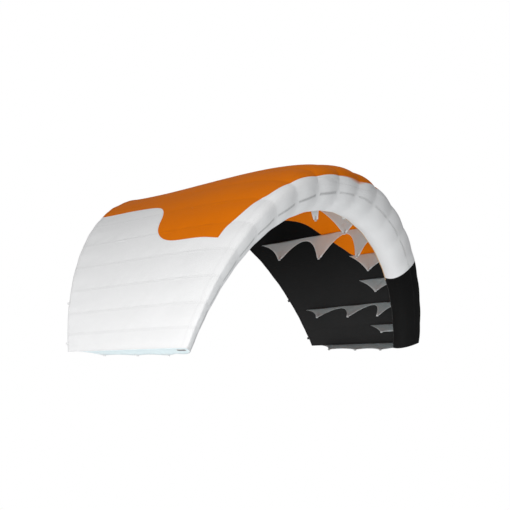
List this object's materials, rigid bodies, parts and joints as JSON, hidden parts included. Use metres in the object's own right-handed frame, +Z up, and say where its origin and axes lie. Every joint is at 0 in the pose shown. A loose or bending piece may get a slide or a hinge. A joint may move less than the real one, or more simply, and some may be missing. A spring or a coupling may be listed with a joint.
{
  "type": "kitesurf kite",
  "caption": "Single-skin foil kite in its flying arch, with puffed nose cells, scalloped ribs with webbing bridle loops, and brake flaps on both tips.",
  "frame": {"origin": "eye of the centre rib's front bridle loop", "axes": "+X to the right tip, -Y the flight direction, +Z up, away from the bridle"},
  "size_m": [2.4634, 1.1591, 0.9554],
  "materials": {
    "white_cloth": "satin ripstop",
    "orange_cloth": "satin ripstop",
    "black_cloth": "satin ripstop",
    "rib_cloth": "matt",
    "mesh": "open mesh",
    "webbing": "woven",
    "nylon_rod": "smooth",
    "closure": "hook-and-loop tape"
  },
  "bodies": {
    "centre": {"centre_bridle_loops": "webbing", "centre_intake_mesh": "mesh", "centre_nose_battens": "nylon_rod", "centre_nose_caps": "white_cloth", "centre_short_ribs": "rib_cloth", "centre_underside_panels": "white_cloth", "left_flex_nose": "white_cloth", "long_rib_09": "rib_cloth", "long_rib_11": "rib_cloth", "right_flex_nose": "white_cloth", "top_skin_06": "orange_cloth", "top_skin_07": "orange_cloth", "top_skin_08": "orange_cloth", "top_skin_09": "orange_cloth", "top_skin_10": "orange_cloth", "top_skin_11": "orange_cloth", "top_skin_12": "orange_cloth", "top_skin_13": "orange_cloth"},
    "left_tip": {"left_bridle_loops": "webbing", "left_intake_mesh": "mesh", "left_nose_battens": "nylon_rod", "left_nose_caps": "white_cloth", "left_short_ribs": "rib_cloth", "left_tip_closure": "closure", "left_underside_panels": "white_cloth", "long_rib_01": "rib_cloth", "long_rib_03": "rib_cloth", "long_rib_06": "rib_cloth", "top_skin_01": "white_cloth", "top_skin_02": "white_cloth", "top_skin_03": "white_cloth", "top_skin_04": "white_cloth", "top_skin_05": "white_cloth"},
    "right_tip": {"long_rib_14": "rib_cloth", "long_rib_17": "rib_cloth", "long_rib_19": "rib_cloth", "right_bridle_loops": "webbing", "right_intake_mesh": "mesh", "right_nose_battens": "nylon_rod", "right_nose_caps": "black_cloth", "right_short_ribs": "rib_cloth", "right_tip_closure": "closure", "right_underside_panels": "black_cloth", "top_skin_14": "orange_cloth", "top_skin_15": "black_cloth", "top_skin_16": "black_cloth", "top_skin_17": "black_cloth", "top_skin_18": "black_cloth"},
    "left_flap_1": {"left_brake_loop_1": "webbing", "left_flap_1": "white_cloth"},
    "left_flap_2": {"left_flap_2": "white_cloth"},
    "left_flap_3": {"left_brake_loop_3": "webbing", "left_flap_3": "white_cloth"},
    "left_flap_4": {"left_flap_4": "white_cloth"},
    "right_flap_1": {"right_brake_loop_1": "webbing", "right_flap_1": "black_cloth"},
    "right_flap_2": {"right_flap_2": "black_cloth"},
    "right_flap_3": {"right_brake_loop_3": "webbing", "right_flap_3": "black_cloth"},
    "right_flap_4": {"right_flap_4": "black_cloth"}
  },
  "joints": [
    {"name": "left_tip_flex", "type": "hinge", "parent": "centre", "child": "left_tip", "pos_m": [-0.73088, 0.07389, -0.01847], "axis": [0.0529, -0.9972, 0.0528], "range_deg": [-8, 8], "stiffness_Nm_per_rad": 15, "deforming": ["top_skin_06", "left_flex_nose"]},
    {"name": "right_tip_flex", "type": "hinge", "parent": "centre", "child": "right_tip", "pos_m": [0.73088, 0.07389, -0.01847], "axis": [0.0529, 0.9972, -0.0528], "range_deg": [-8, 8], "stiffness_Nm_per_rad": 15, "deforming": ["top_skin_13", "right_flex_nose"]},
    {"name": "left_brake", "type": "hinge", "parent": "left_tip", "child": "left_flap_2", "pos_m": [-1.16934, 0.67713, -0.5478], "axis": [-0.4506, -0.1678, -0.8768], "range_deg": [0, 28], "stiffness_Nm_per_rad": 0.06},
    {"name": "left_brake_1", "type": "hinge", "parent": "left_tip", "child": "left_flap_1", "pos_m": [-1.21287, 0.65912, -0.64348], "axis": [-0.3552, -0.1698, -0.9192], "range_deg": [0, 28], "stiffness_Nm_per_rad": 0.06},
    {"name": "left_brake_3", "type": "hinge", "parent": "left_tip", "child": "left_flap_3", "pos_m": [-1.1043, 0.69853, -0.43931], "axis": [-0.5535, -0.1654, -0.8162], "range_deg": [0, 21], "stiffness_Nm_per_rad": 0.06},
    {"name": "left_brake_4", "type": "hinge", "parent": "left_tip", "child": "left_flap_4", "pos_m": [-1.01318, 0.72305, -0.32363], "axis": [-0.6575, -0.1626, -0.7357], "range_deg": [0, 11.2], "stiffness_Nm_per_rad": 0.06},
    {"name": "right_brake", "type": "hinge", "parent": "right_tip", "child": "right_flap_2", "pos_m": [1.16934, 0.67713, -0.5478], "axis": [-0.4506, 0.1678, 0.8768], "range_deg": [0, 28], "stiffness_Nm_per_rad": 0.06},
    {"name": "right_brake_1", "type": "hinge", "parent": "right_tip", "child": "right_flap_1", "pos_m": [1.21287, 0.65912, -0.64348], "axis": [-0.3552, 0.1698, 0.9192], "range_deg": [0, 28], "stiffness_Nm_per_rad": 0.06},
    {"name": "right_brake_3", "type": "hinge", "parent": "right_tip", "child": "right_flap_3", "pos_m": [1.1043, 0.69853, -0.43931], "axis": [-0.5535, 0.1654, 0.8162], "range_deg": [0, 21], "stiffness_Nm_per_rad": 0.06},
    {"name": "right_brake_4", "type": "hinge", "parent": "right_tip", "child": "right_flap_4", "pos_m": [1.01318, 0.72305, -0.32363], "axis": [-0.6575, 0.1626, 0.7357], "range_deg": [0, 11.2], "stiffness_Nm_per_rad": 0.06}
  ],
  "couplings": [
    {"joint": "left_brake_1", "follows": "left_brake", "ratio": 1},
    {"joint": "left_brake_3", "follows": "left_brake", "ratio": 0.75},
    {"joint": "left_brake_4", "follows": "left_brake", "ratio": 0.4},
    {"joint": "right_brake_1", "follows": "right_brake", "ratio": 1},
    {"joint": "right_brake_3", "follows": "right_brake", "ratio": 0.75},
    {"joint": "right_brake_4", "follows": "right_brake", "ratio": 0.4}
  ]
}
